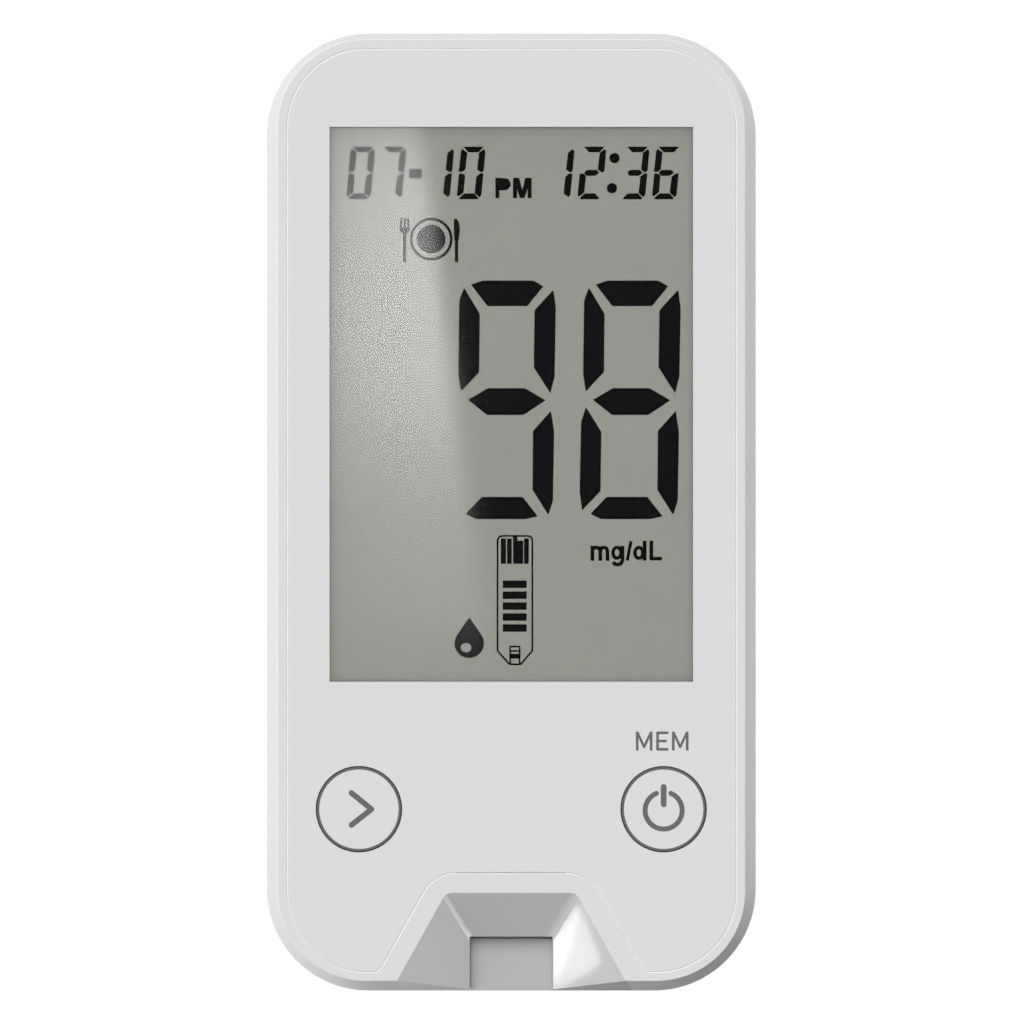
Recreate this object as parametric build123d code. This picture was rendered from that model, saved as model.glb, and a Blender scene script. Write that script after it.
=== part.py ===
from build123d import *
import os

# Handheld blood glucose meter, lying on its flat back.
# +Z is out of the display, +Y is the top of the display, and the test strip goes in at the -Y end.
# The origin is under the middle of the meter, on the surface that it rests on. Millimetres.

# ---- Housing ----
body_width = 51.0  # at the line where the two shells meet
body_length = 99.8
body_thickness = 20.0
front_depth = 7.0  # from the face down to that line
corner_radius = 10.6  # seen from above, at the parting line
face_corner_radius = 9.2
face_side_inset = 1.2  # from the widest line in to the edge of the face
face_top_inset = 0.74
face_end_inset = 1.16
face_edge_round = 0.06
back_inset = 1.4
back_edge_round = 5.0
parting_edge_round = 0.15
side_wall = 1.4
floor_wall = 1.5
ceiling_wall = 1.2
lip_height = 1.0  # of the rear shell's rim inside the front shell
lip_wall = 0.7
lip_clearance = 0.1
lip_root = 1.7
lip_port_clearance = 1.0

# ---- Faceplate, display window and its tape ----
face_rim = 0.94  # width of front shell left round the faceplate
faceplate_thickness = 0.9
faceplate_gap = 0.02
seam_round = 0.15  # of both edges along the faceplate's seam
faceplate_tip_round = 1.1
window_from_side = 6.6  # from the widest line in to the display window
window_from_top = 9.84
window_from_strip_end = 32.26
window_clearance = 0.05
window_flange = 1.25  # how far the window reaches under the faceplate
window_flange_thickness = 0.6
window_tape = 0.1
opening_margin = 0.4  # of the hole in the front shell round the visible window
tape_inset = 0.1

# ---- Keys and domes ----
key_from_side = 9.66
key_from_end = 19.01
key_radius = 4.4
key_clearance = 0.1
key_edge_round = 0.08
key_flange = 0.8
key_flange_thickness = 0.7
key_flange_clearance = 0.3
key_rest_gap = 0.02
key_ear_width = 1.6
key_ear_length = 1.2
key_stem_radius = 1.6
key_dome_gap = 0.04
dome_radius = 3.6
dome_height = 0.6
dome_thickness = 0.12

# ---- Display cell ----
glass_border = 1.1  # of glass round the visible window
glass_thickness = 0.55
glass_overhang = 2.4  # of the front glass, over the rubber connector
reflector_thickness = 0.25
gasket_thickness = 0.3
gasket_inset = 0.1
frame_wall = 0.8
frame_floor = 0.6
frame_clearance = 0.15
frame_below_glass = 0.1
zebra_thickness = 1.8
zebra_end_inset = 2.0  # from the side of the glass

# ---- Main board ----
board_thickness = 1.0
board_from_face = 6.4  # from the face down to its underside
board_edge_clearance = 1.4  # from the shell's inner wall
board_from_end = 8.9  # from the strip end of the housing to the board
board_boss_clearance = 0.4
processor_size = 7.0
processor_height = 0.9
processor_from_middle = 8.0
memory_width = 5.0
memory_length = 4.0
memory_height = 0.75
chip_gap = 3.0
crystal_width = 3.2
crystal_length = 1.5
crystal_height = 0.7
crystal_round = 0.375
passive_width = 0.8
passive_length = 1.6
passive_height = 0.5
passive_pitch = 2.4
passive_count = 6

# ---- Strip port ----
funnel_from_end = 10.32  # from the strip end of the housing to the funnel's back edge
funnel_back_width = 13.6
funnel_past_end = 2.0  # how far its walls are drawn on past the housing
funnel_mouth_flare = 0.56  # sideways per length, on each side
funnel_back_slope = 0.855  # drop per length
funnel_side_slope = 0.845
funnel_corner_round = 1.6
funnel_wall = 1.3
funnel_surround = 2.08  # flat border between the funnel and the faceplate
surround_corner_round = 4.0
channel_width = 8.54
channel_edge_round = 0.26
slot_from_face = 4.2  # from the face down to the roof of the strip's slot
slot_lip = 0.25
slot_height = 0.7
guide_side_gap = 0.03
guide_depth = 2.2  # that the strip guide's ramp falls towards the end
guide_base_from_face = 9.2
guide_flange_width = 12.8
guide_flange_height = 1.4
guide_flange_end_gap = 2.1
guide_rail = 0.6
guide_rail_height = 0.65
guide_groove_width = 0.24  # of the cut across the ramp under the slot's lip
guide_groove_depth = 0.9
guide_board_gap = 0.3
guide_rib_thickness = 1.0
guide_rib_side_inset = 0.7
connector_width = 11.2
connector_length = 8.5
connector_height = 2.3
connector_slot_width = 7.4
connector_slot_depth = 7.0
connector_lead = 2.0  # from its mouth to the grooves for the contacts
strip_contact_count = 5
strip_contact_pitch = 1.3
strip_contact_width = 0.6
strip_contact_thickness = 0.15
strip_contact_tail = 1.0
strip_contact_rise = 0.45
strip_contact_clearance = 0.1
strip_contact_bend = 1.0  # from the bottom of the slot to where a finger leaves the board
strip_contact_tip = 1.0
strip_contact_tip_gap = 0.1

# ---- Buzzer ----
buzzer_radius = 6.0
buzzer_height = 3.0
buzzer_from_end = 19.4
buzzer_edge_round = 0.3
buzzer_hole_radius = 0.9
buzzer_hole_depth = 1.0

# ---- Cells, contacts and bay ----
# The cells fill the bay: with these sizes they are two of 10.5 by 44.5.
bay_from_top = 15.6
bay_from_strip_end = 35.6
bay_board_gap = 0.2
bay_wall = 1.0
bay_rib_width = 1.2
bay_rib_height = 1.6
cell_gap = 0.7  # between the two cells
cell_edge_round = 0.5
cell_button_radius = 2.75
cell_button_height = 1.0
cell_side_clearance = 0.35
cell_door_clearance = 0.45
cell_roof_clearance = 0.15
spring_length = 3.5
spring_radius = 2.3
spring_wire_radius = 0.3
spring_turns = 3
spring_end_gap = 0.03
contact_thickness = 0.3
contact_side_inset = 1.05  # from a cell's side
contact_end_inset = 1.25  # from a cell's top and bottom
contact_tail_width = 2.0
contact_tail_clearance = 0.2
contact_tail_over_board = 0.5

# ---- Battery door ----
door_thickness = 1.3
door_gap = 0.15
door_seat_gap = 0.05
door_seat_width = 1.5
door_seat_thickness = 1.35
door_side_overlap = 1.6  # past the bay's inner side
door_pivot_overlap = 2.0  # past the bay's inner end, at the pivot
door_latch_overlap = 4.8  # and at the latch
door_corner_round = 1.2
tab_width = 4.0
tab_spacing = 14.0
tab_length = 1.6
tab_thickness = 0.55
tab_clearance = 0.35
tab_sweep = 2.8  # height that a tab needs over the back as the door turns
latch_width = 8.8
latch_wall = 0.8
latch_height = 6.0
latch_end_inset = 0.5
latch_foot_gap = 0.6
latch_nib = 0.2
latch_nib_height = 2.6
latch_nib_inset = 1.0
latch_side_clearance = 0.35
latch_roof_clearance = 0.9
grip_count = 3
grip_width = 10.0
grip_groove = 0.7
grip_depth = 0.3
grip_pitch = 1.5
grip_from_end = 2.0
scoop_radius = 9.0
scoop_depth = 0.8
scoop_past_door = 0.6

# ---- Screws and posts ----
case_screw_side = 7.5  # in from the widest line
case_screw_end = 5.5
case_boss_radius = 2.0
case_boss_from_face = 12.0  # where the front boss meets the rear post
case_post_radius = 3.0
case_head_radius = 1.8
case_head_height = 1.3
case_head_from_face = 16.0
case_head_clearance = 0.2
case_shank_radius = 0.9
case_shank_length = 9.0
case_hole_clearance = 0.25
board_post_radius = 1.5
board_post_top_from_end = 4.6
board_post_low_from_end = 24.4
board_post_low_from_side = 16.5
board_head_radius = 1.4
board_head_height = 0.8
board_shank_radius = 0.7
board_shank_length = 3.4
board_hole_clearance = 0.2
pilot_clearance = 0.02
pilot_extra_depth = 0.5
head_round_share = 1 / 3  # of a head's height
cross_width = 0.35
cross_length = 1.9
cross_depth = 0.6

# ---- Allowances of the modelling ----
cut_over = 1.0  # how far a cutting shape runs past what it cuts
join_over = 0.1  # how far joined shapes reach into each other
near = 0.01  # within which two places are the same

# ---- Heights and places that follow ----
half_width = body_width / 2
half_length = body_length / 2
parting_height = body_thickness - front_depth
plate_bottom = body_thickness - faceplate_thickness
ceiling = plate_bottom - ceiling_wall
board_height = body_thickness - board_from_face
board_top = board_height + board_thickness
window_width = body_width - 2 * window_from_side
window_length = body_length - window_from_top - window_from_strip_end
window_y = half_length - window_from_top - window_length / 2
window_bottom = plate_bottom - window_flange_thickness
glass_top = ceiling - gasket_thickness
rear_glass_top = glass_top - glass_thickness
reflector_top = rear_glass_top - glass_thickness
frame_seat = reflector_top - reflector_thickness
frame_under = frame_seat - frame_floor
glass_half_width = window_width / 2 + glass_border
glass_upper_y = window_y + window_length / 2 + glass_border
rear_glass_lower_y = window_y - window_length / 2 - glass_border
front_glass_lower_y = rear_glass_lower_y - glass_overhang
zebra_y = rear_glass_lower_y - glass_overhang / 2
zebra_length = 2 * (glass_half_width - zebra_end_inset)
key_x = half_width - key_from_side
key_y = key_from_end - half_length
key_places = [(-key_x, key_y), (key_x, key_y)]
dome_top = board_top + dome_height
board_end_y = board_from_end - half_length
funnel_back_y = funnel_from_end - half_length
slot_top = body_thickness - slot_from_face
slot_bottom = slot_top - slot_height
slot_mouth_y = funnel_back_y - (slot_from_face - slot_lip) / funnel_back_slope
guide_base_height = body_thickness - guide_base_from_face
bay_roof = board_height - bay_board_gap - bay_wall
bay_upper_y = half_length - bay_from_top
bay_lower_y = bay_from_strip_end - half_length
cell_radius = (bay_roof - cell_roof_clearance - cell_door_clearance - door_thickness) / 2
cell_length = bay_upper_y - bay_lower_y - spring_length - 2 * contact_thickness
cell_pitch = 2 * cell_radius + cell_gap
cell_axis = door_thickness + cell_door_clearance + cell_radius
bay_half_width = cell_pitch / 2 + cell_radius + cell_side_clearance
contact_width = 2 * (cell_radius - contact_side_inset)
contact_height = 2 * (cell_radius - contact_end_inset)
door_half_width = bay_half_width + door_side_overlap
door_lower_y = bay_lower_y - door_pivot_overlap
door_upper_y = bay_upper_y + door_latch_overlap
seat_bottom = door_thickness + door_seat_gap
case_screw_x = half_width - case_screw_side
case_screw_y = half_length - case_screw_end
case_boss_height = body_thickness - case_boss_from_face
case_head_seat = body_thickness - case_head_from_face
case_screw_places = [
    (x, y) for x in (-case_screw_x, case_screw_x) for y in (-case_screw_y, case_screw_y)
]
board_post_x = half_width - board_post_low_from_side
board_post_low_y = board_post_low_from_end - half_length
board_post_places = [
    (0, half_length - board_post_top_from_end),
    (-board_post_x, board_post_low_y),
    (board_post_x, board_post_low_y),
]


def block(x0, x1, y0, y1, z0, z1):
    """Box between two corners."""
    return Pos(x0, y0, z0) * Box(x1 - x0, y1 - y0, z1 - z0, align=(Align.MIN, Align.MIN, Align.MIN))


def disc(place, radius, z0, z1):
    """Upright cylinder at an (x, y) place."""
    return Pos(place[0], place[1], z0) * Cylinder(
        radius, z1 - z0, align=(Align.CENTER, Align.CENTER, Align.MIN)
    )


def plate(half_x, y0, y1, z0, z1):
    """Box that is centred across the meter."""
    return block(-half_x, half_x, y0, y1, z0, z1)


def ring(outer, inner, z0, z1):
    """Rectangular frame between two (half width, lower y, upper y) rectangles."""
    return plate(*outer, z0, z1) - plate(*inner, z0 - cut_over, z1 + cut_over)


def window_frame(margin):
    """The window's rectangle, grown by a margin, as (half width, lower y, upper y)."""
    half = window_length / 2 + margin
    return (window_width / 2 + margin, window_y - half, window_y + half)


def outline(height, inset=0):
    """The housing's plan at a height, shrunk by an inset."""
    if height >= parting_height:
        share = (height - parting_height) / (body_thickness - parting_height)
        side = face_side_inset * share
        upper = face_top_inset * share
        lower = face_end_inset * share
        radius = corner_radius + (face_corner_radius - corner_radius) * share
    else:
        side = upper = lower = back_inset * (parting_height - height) / parting_height
        radius = corner_radius - side
    width = body_width - 2 * (side + inset)
    length = body_length - upper - lower - 2 * inset
    return Pos(0, (lower - upper) / 2, height) * RectangleRounded(width, length, radius - inset)


def between(low, high, inset=0):
    """The housing's body between two heights, shrunk by an inset."""
    return loft([outline(low, inset), outline(high, inset)], ruled=True)


def end_surface_y(height):
    """Y of the housing's outer surface at the strip end, below the parting line."""
    return back_inset * (parting_height - height) / parting_height - half_length


# ---- Funnel ----
def funnel_half_width(y, depth, grow):
    """Half the funnel's width at a place y, at a depth under the face, with its walls moved out."""
    slant = (1 + funnel_mouth_flare**2) ** 0.5
    inward = (depth / funnel_side_slope - grow) * slant
    return funnel_back_width / 2 + funnel_mouth_flare * (funnel_back_y - y) - inward


def funnel_plan(depth, grow):
    """The funnel's outline at a depth under the face, open past the strip end."""
    back = funnel_back_y - depth / funnel_back_slope + grow
    mouth = -half_length - funnel_past_end
    back_half = funnel_half_width(back, depth, grow)
    mouth_half = funnel_half_width(mouth, depth, grow)
    points = [(-back_half, back), (back_half, back), (mouth_half, mouth), (-mouth_half, mouth)]
    return Pos(0, 0, body_thickness - depth) * make_face(Polyline(*points, close=True))


def funnel_body(grow, corner, top_depth, low_depth):
    """The funnel's space, or its outer shape when its walls are moved out."""
    body = loft([funnel_plan(top_depth, grow), funnel_plan(low_depth, grow)], ruled=True)
    slanted = body.edges().filter_by(lambda edge: edge.bounding_box().size.Z > near)
    return fillet(slanted.sort_by(Axis.Y)[-2:], corner)


def funnel_reach():
    """Depth at which the funnel's side walls have closed in to the strip channel."""
    slant = (1 + funnel_mouth_flare**2) ** 0.5
    mouth_half = funnel_half_width(-half_length - funnel_past_end, 0, 0)
    return (mouth_half - channel_width / 2) * funnel_side_slope / slant


def surround(grow, z0, z1):
    """The flat border round the funnel, as a solid."""
    body = extrude(Pos(0, 0, z0 - body_thickness) * funnel_plan(0, grow), z1 - z0)
    corners = body.edges().filter_by(Axis.Z).sort_by(Axis.Y)[-2:]
    return fillet(corners, surround_corner_round)


# ---- Housing ----
def make_front_shell():
    body = between(parting_height, body_thickness)
    body = fillet(body.edges().group_by(Axis.Z)[-1], face_edge_round)
    body = fillet(body.edges().group_by(Axis.Z)[0], parting_edge_round)
    cavity = between(parting_height, ceiling, side_wall)
    shell = body - cavity
    shell += funnel_body(funnel_wall, funnel_corner_round, 0, front_depth + cut_over) & cavity
    shell -= plate_recess() - surround(funnel_surround, plate_bottom - cut_over, body_thickness + cut_over)
    shell = fillet(notch_tips(shell, funnel_surround), faceplate_tip_round + faceplate_gap)
    rim = shell.faces().sort_by(Axis.Z)[-1]
    shell = fillet(rim.inner_wires().edges(), seam_round)
    shell -= funnel_body(0, funnel_corner_round, -cut_over, funnel_reach())
    shell -= strip_channel()
    shell = fillet(channel_edges(shell), channel_edge_round)
    shell -= plate(*window_frame(opening_margin), ceiling - cut_over, plate_bottom + cut_over)
    shell -= plate(*window_frame(window_flange + faceplate_gap), window_bottom - window_tape, body_thickness)
    for place, inward in zip(key_places, (1, -1)):
        shell -= key_opening(place, inward)
    for place in case_screw_places:
        shell += disc(place, case_boss_radius, case_boss_height, ceiling + ceiling_wall / 2)
        top = case_head_seat + case_shank_length + pilot_extra_depth
        shell -= disc(place, case_shank_radius + pilot_clearance, case_boss_height - cut_over, top)
    for place in board_post_places:
        shell += disc(place, board_post_radius, board_top, ceiling + ceiling_wall / 2)
        top = board_height + board_shank_length + pilot_extra_depth
        shell -= disc(place, board_shank_radius + pilot_clearance, board_top - cut_over, top)
    return shell


def plate_recess():
    """The pocket that the faceplate lies in."""
    floor = Pos(0, 0, plate_bottom - body_thickness) * outline(body_thickness, face_rim)
    return extrude(floor, faceplate_thickness + cut_over)


def strip_channel():
    """The space for the strip guide, open to the end, and the slot over it under the funnel's back wall."""
    half = channel_width / 2
    low = parting_height - cut_over
    tunnel = plate(half, slot_mouth_y - cut_over, board_end_y + cut_over, low, slot_top)
    return tunnel + plate(half, -half_length - cut_over, slot_mouth_y, low, body_thickness)


def channel_edges(shell):
    """The two sloping edges where the funnel's side walls drop into the strip channel."""
    half = channel_width / 2

    def beside_channel(edge):
        size = edge.bounding_box().size
        middle = edge.center()
        on_side = abs(abs(middle.X) - half) < near and size.X < near
        return on_side and size.Y > near and size.Z > near and middle.Y < slot_mouth_y

    return shell.edges().filter_by(beside_channel).sort_by(SortBy.LENGTH)[-2:]


def key_opening(place, inward):
    """The hole in the front shell that a key's flange moves in, with a notch for its ear."""
    radius = key_radius + key_flange + key_flange_clearance
    low = ceiling - cut_over
    high = plate_bottom + cut_over
    reach = key_radius + key_flange + key_ear_length + key_flange_clearance
    half = key_ear_width / 2 + key_flange_clearance
    x0, x1 = sorted((place[0], place[0] + inward * reach))
    return disc(place, radius, low, high) + block(x0, x1, place[1] - half, place[1] + half, low, high)


def make_faceplate():
    body = extrude(
        Pos(0, 0, plate_bottom - body_thickness) * outline(body_thickness, face_rim + faceplate_gap),
        faceplate_thickness,
    )
    low = plate_bottom - cut_over
    high = body_thickness + cut_over
    body -= surround(funnel_surround + faceplate_gap, low, high)
    body = fillet(notch_tips(body, funnel_surround + faceplate_gap), faceplate_tip_round)
    body = fillet(body.edges().group_by(Axis.Z)[-1], seam_round)
    body -= plate(*window_frame(0), low, high)
    for place in key_places:
        body -= disc(place, key_radius + key_clearance, low, high)
    return body


def notch_tips(body, grow):
    """The two upright edges where the sides of the faceplate's notch meet its outer edge."""

    def beside_notch(edge):
        place = edge.center()
        return abs(abs(place.X) - funnel_half_width(place.Y, 0, grow)) < near and place.Z > plate_bottom

    return body.edges().filter_by(Axis.Z).filter_by(beside_notch).sort_by(Axis.Y)[:2]


def make_back_shell():
    body = between(0, parting_height)
    body = fillet(body.edges().group_by(Axis.Z)[0], back_edge_round)
    body = fillet(body.edges().group_by(Axis.Z)[-1], parting_edge_round)
    cavity = between(floor_wall, parting_height + cut_over, side_wall)
    cavity = fillet(cavity.edges().group_by(Axis.Z)[0], back_edge_round - side_wall)
    shell = body - cavity
    shell += lip()
    shell += door_seat() + bay_box() + latch_box()
    shell += guide_ribs() & cavity
    for place in case_screw_places:
        shell += disc(place, case_post_radius, floor_wall / 2, case_boss_height) & body
    shell -= bay_space()
    shell += bay_rib()
    shell -= door_opening() + latch_space()
    shell -= channel_notch()
    shell -= tail_slots(bay_roof - cut_over, bay_roof + bay_wall + cut_over)
    shell -= finger_scoop()
    for place in case_screw_places:
        shell -= disc(place, case_head_radius + case_head_clearance, -cut_over, case_head_seat)
        shell -= disc(place, case_shank_radius + case_hole_clearance, 0, case_boss_height + cut_over)
    return shell


def lip():
    """The rim that stands up inside the front shell, left out round the strip port."""
    outer = side_wall + lip_clearance
    inner = outer + lip_wall
    top = parting_height + lip_height
    upright = between(parting_height, top, outer) - between(parting_height, top, inner)
    root = extrude(outline(parting_height, side_wall / 2) - outline(parting_height, inner), -lip_root)
    gap = funnel_half_width(-half_length, 0, funnel_wall) + lip_port_clearance
    return upright - plate(gap, -half_length, funnel_back_y, parting_height, top + cut_over) + root


def bay_box():
    """The outside of the battery bay's walls and roof."""
    side = bay_half_width + bay_wall
    return plate(side, bay_lower_y - bay_wall, bay_upper_y + bay_wall, seat_bottom, bay_roof + bay_wall)


def bay_space():
    """The room for the cells and their contacts."""
    return plate(bay_half_width, bay_lower_y, bay_upper_y, -cut_over, bay_roof)


def bay_rib():
    """The ridge on the bay's roof that keeps the two cells apart."""
    start = bay_lower_y + contact_thickness
    end = bay_upper_y - contact_thickness
    return plate(bay_rib_width / 2, start, end, bay_roof - bay_rib_height, bay_roof + bay_wall / 2)


def door_seat():
    """The inner frame that the battery door closes against."""
    grow = door_gap + door_seat_width
    half = door_half_width + grow
    top = seat_bottom + door_seat_thickness
    return plate(half, door_lower_y - grow, door_upper_y + grow, seat_bottom, top)


def door_plate(grow, z0, z1):
    """The door's rounded rectangle, grown on every side."""
    body = plate(door_half_width + grow, door_lower_y - grow, door_upper_y + grow, z0, z1)
    return fillet(body.edges().filter_by(Axis.Z), door_corner_round + grow)


def door_opening():
    """The hole for the door, with pockets for the tabs that it turns on."""
    hole = door_plate(door_gap, -cut_over, seat_bottom)
    half = tab_width / 2 + tab_clearance
    back = door_lower_y - tab_length - tab_clearance
    front = bay_lower_y - bay_wall
    low = door_thickness - tab_thickness - door_gap
    for x in (-tab_spacing / 2, tab_spacing / 2):
        hole += block(x - half, x + half, back, front, low, tab_sweep)
    return hole


def latch_box():
    """The walls round the latch, beside the battery bay."""
    side = latch_width / 2 + latch_side_clearance + bay_wall
    top = door_thickness + latch_height + latch_roof_clearance + bay_wall
    return plate(side, bay_upper_y, door_upper_y + door_gap + bay_wall, floor_wall / 2, top)


def latch_space():
    """The room for the door's latch."""
    side = latch_width / 2 + latch_side_clearance
    top = door_thickness + latch_height + latch_roof_clearance
    return plate(side, bay_upper_y + bay_wall, door_upper_y + door_gap, 0, top)


def channel_notch():
    """The gap in the rear shell's end wall for the strip guide."""
    half = channel_width / 2
    top = parting_height + lip_height + cut_over
    notch = plate(half, -half_length - cut_over, slot_mouth_y, guide_base_height, top)
    flange = guide_flange_width / 2 + lip_clearance
    start = guide_flange_end_gap - lip_clearance - half_length
    return notch + plate(flange, start, board_end_y, guide_base_height, top)


def guide_ribs():
    """Two ribs that carry the strip guide."""
    outer = guide_flange_width / 2 - guide_rib_side_inset
    inner = outer - guide_rib_thickness
    start = -half_length
    ribs = plate(outer, start, board_end_y, floor_wall / 2, guide_base_height)
    space = plate(inner, start - cut_over, board_end_y + cut_over, 0, guide_base_height + cut_over)
    return ribs - space


def finger_scoop():
    """The hollow beside the door for a fingertip."""
    return Pos(0, door_upper_y + scoop_past_door, scoop_depth - scoop_radius) * Sphere(scoop_radius)


def make_battery_door():
    body = door_plate(0, 0, door_thickness)
    for x in (-tab_spacing / 2, tab_spacing / 2):
        x0 = x - tab_width / 2
        body += block(
            x0, x0 + tab_width, door_lower_y - tab_length, door_lower_y + cut_over,
            door_thickness - tab_thickness, door_thickness,
        )
    body += door_latch()
    for index in range(grip_count):
        y = door_upper_y - grip_from_end - index * grip_pitch
        body -= plate(grip_width / 2, y - grip_groove / 2, y + grip_groove / 2, -cut_over, grip_depth)
    return body


def door_latch():
    """The bent tongue that springs against the rear shell and holds the door shut."""
    outer = door_upper_y - latch_end_inset
    inner = bay_upper_y + bay_wall + latch_end_inset
    half = latch_width / 2
    top = door_thickness + latch_height
    past = half + cut_over
    tongue = plate(half, inner, outer, door_thickness - join_over, top)
    tongue -= plate(past, inner + latch_wall, outer - latch_wall, 0, top - latch_wall)
    tongue -= plate(past, outer - latch_wall, outer + cut_over, 0, door_thickness + latch_foot_gap)
    nib = door_thickness + latch_nib_height
    nib_half = half - latch_nib_inset
    return tongue + plate(nib_half, outer - latch_wall, outer + latch_nib, nib, nib + latch_wall)


# ---- Window, keys and domes ----
def make_display_window():
    lens = plate(*window_frame(-window_clearance), window_bottom, body_thickness)
    lens = lens + plate(*window_frame(window_flange), window_bottom, plate_bottom)
    return lens


def make_window_tape():
    outer = window_frame(window_flange - tape_inset)
    inner = window_frame(opening_margin + tape_inset)
    return ring(outer, inner, window_bottom - window_tape, window_bottom)


def make_key(place, inward):
    cap_bottom = plate_bottom - key_rest_gap - key_flange_thickness
    cap = disc(place, key_radius, cap_bottom, body_thickness)
    cap = fillet(cap.edges().group_by(Axis.Z)[-1], key_edge_round)
    cap += disc(place, key_radius + key_flange, cap_bottom, plate_bottom - key_rest_gap)
    reach = key_radius + key_flange + key_ear_length
    x0, x1 = sorted((place[0], place[0] + inward * reach))
    half = key_ear_width / 2
    cap += block(x0, x1, place[1] - half, place[1] + half, cap_bottom, plate_bottom - key_rest_gap)
    return cap + disc(place, key_stem_radius, dome_top + key_dome_gap, cap_bottom + join_over)


def make_dome(place):
    """A thin sprung cap over the board's pads."""
    curve = (dome_radius**2 + dome_height**2) / (2 * dome_height)
    outer = Pos(place[0], place[1], dome_top - curve) * Sphere(curve)
    inner = Pos(place[0], place[1], dome_top - curve) * Sphere(curve - dome_thickness)
    return (outer - inner) & disc(place, dome_radius + cut_over, board_top, dome_top + cut_over)


# ---- Display cell ----
def make_front_glass():
    return plate(glass_half_width, front_glass_lower_y, glass_upper_y, rear_glass_top, glass_top)


def make_rear_glass():
    return plate(glass_half_width, rear_glass_lower_y, glass_upper_y, reflector_top, rear_glass_top)


def make_reflector():
    return plate(glass_half_width, rear_glass_lower_y, glass_upper_y, frame_seat, reflector_top)


def make_gasket():
    outer = (glass_half_width, rear_glass_lower_y, glass_upper_y)
    return ring(outer, window_frame(opening_margin + gasket_inset), glass_top, ceiling)


def make_display_frame():
    grow = frame_clearance + frame_wall
    outer = (glass_half_width + grow, front_glass_lower_y - grow, glass_upper_y + grow)
    gap = frame_clearance
    inner = (glass_half_width + gap, front_glass_lower_y - gap, glass_upper_y + gap)
    frame = plate(*outer, board_top, glass_top - frame_below_glass)
    frame -= plate(*inner, frame_seat, glass_top + cut_over)
    frame -= plate(*inner, board_top - cut_over, frame_under)
    slot = zebra_length / 2 + frame_clearance
    depth = zebra_thickness / 2 + frame_clearance
    low = frame_under - cut_over
    return frame - plate(slot, zebra_y - depth, zebra_y + depth, low, frame_seat + cut_over)


def make_zebra_strip():
    depth = zebra_thickness / 2
    return plate(zebra_length / 2, zebra_y - depth, zebra_y + depth, board_top, rear_glass_top)


# ---- Board and what it carries ----
def make_main_board():
    plan = outline(parting_height, side_wall + board_edge_clearance)
    board = extrude(Pos(0, 0, board_height - parting_height) * plan, board_thickness)
    low = board_height - cut_over
    high = board_top + cut_over
    board -= plate(body_width, -body_length, board_end_y, low, high)
    for place in case_screw_places:
        if place[1] > 0:
            radius = case_boss_radius + board_boss_clearance
            board -= disc(place, radius, low, high)
            x0, x1 = sorted((place[0], 2 * place[0]))
            board -= block(x0, x1, place[1] - radius, place[1] + radius, low, high)
            x0, x1 = sorted((place[0] - radius, place[0] + radius))
            board -= block(x0, x1, place[1], 2 * place[1], low, high)
    for place in board_post_places:
        board -= disc(place, board_shank_radius + board_hole_clearance, low, high)
    return board - tail_slots(low, high)


def make_processor():
    half = processor_size / 2
    y = window_y - processor_from_middle
    return plate(half, y - half, y + half, board_top, board_top + processor_height)


def make_memory_chip():
    x0 = processor_size / 2 + chip_gap
    y0 = window_y - processor_from_middle - memory_length / 2
    return block(x0, x0 + memory_width, y0, y0 + memory_length, board_top, board_top + memory_height)


def make_crystal():
    x1 = -processor_size / 2 - chip_gap
    y0 = window_y - processor_from_middle - crystal_length / 2
    body = block(x1 - crystal_width, x1, y0, y0 + crystal_length, board_top, board_top + crystal_height)
    return fillet(body.edges().filter_by(Axis.Z), crystal_round)


def make_board_passives():
    """Two rows of small resistors and capacitors beside the processor."""
    parts = []
    for side in (-1, 1):
        y = window_y - processor_from_middle + side * (processor_size / 2 + chip_gap)
        for index in range(passive_count):
            x = (index - (passive_count - 1) / 2) * passive_pitch
            parts.append(
                block(
                    x - passive_width / 2, x + passive_width / 2,
                    y - passive_length / 2, y + passive_length / 2,
                    board_top, board_top + passive_height,
                )
            )
    return Compound(children=parts)


def make_buzzer():
    place = (0, buzzer_from_end - half_length)
    low = board_height - buzzer_height
    body = disc(place, buzzer_radius, low, board_height)
    body = fillet(body.edges().group_by(Axis.Z)[0], buzzer_edge_round)
    return body - disc(place, buzzer_hole_radius, low - cut_over, low + buzzer_hole_depth)


# ---- Strip port ----
def make_strip_guide():
    """The ramp under the strip, with rails beside it and flanges held between the shells."""
    half = channel_width / 2 - guide_side_gap
    inner_y = board_end_y - guide_board_gap
    ramp_low = slot_bottom - guide_depth
    points = [
        (end_surface_y(guide_base_height), guide_base_height),
        (end_surface_y(ramp_low), ramp_low),
        (slot_mouth_y, slot_bottom),
        (inner_y, slot_bottom),
        (inner_y, guide_base_height),
    ]
    side = Plane(origin=(-half, 0, 0), x_dir=(0, 1, 0), z_dir=(1, 0, 0))
    guide = extrude(side * make_face(Polyline(*points, close=True)), 2 * half)
    rail_top = slot_bottom + guide_rail_height
    rails = plate(half, slot_mouth_y + guide_rail, inner_y, slot_bottom - join_over, rail_top)
    rails -= plate(half - guide_rail, slot_mouth_y, inner_y + cut_over, ramp_low, rail_top + cut_over)
    guide += rails
    groove_low = slot_bottom - guide_groove_depth
    high = slot_bottom + cut_over
    guide -= plate(channel_width, slot_mouth_y - guide_groove_width, slot_mouth_y, groove_low, high)
    flange_top = guide_base_height + guide_flange_height
    start = -half_length + guide_flange_end_gap
    return guide + plate(guide_flange_width / 2, start, inner_y, guide_base_height, flange_top)


def strip_contact_places():
    middle = (strip_contact_count - 1) / 2
    return [(index - middle) * strip_contact_pitch for index in range(strip_contact_count)]


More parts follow.
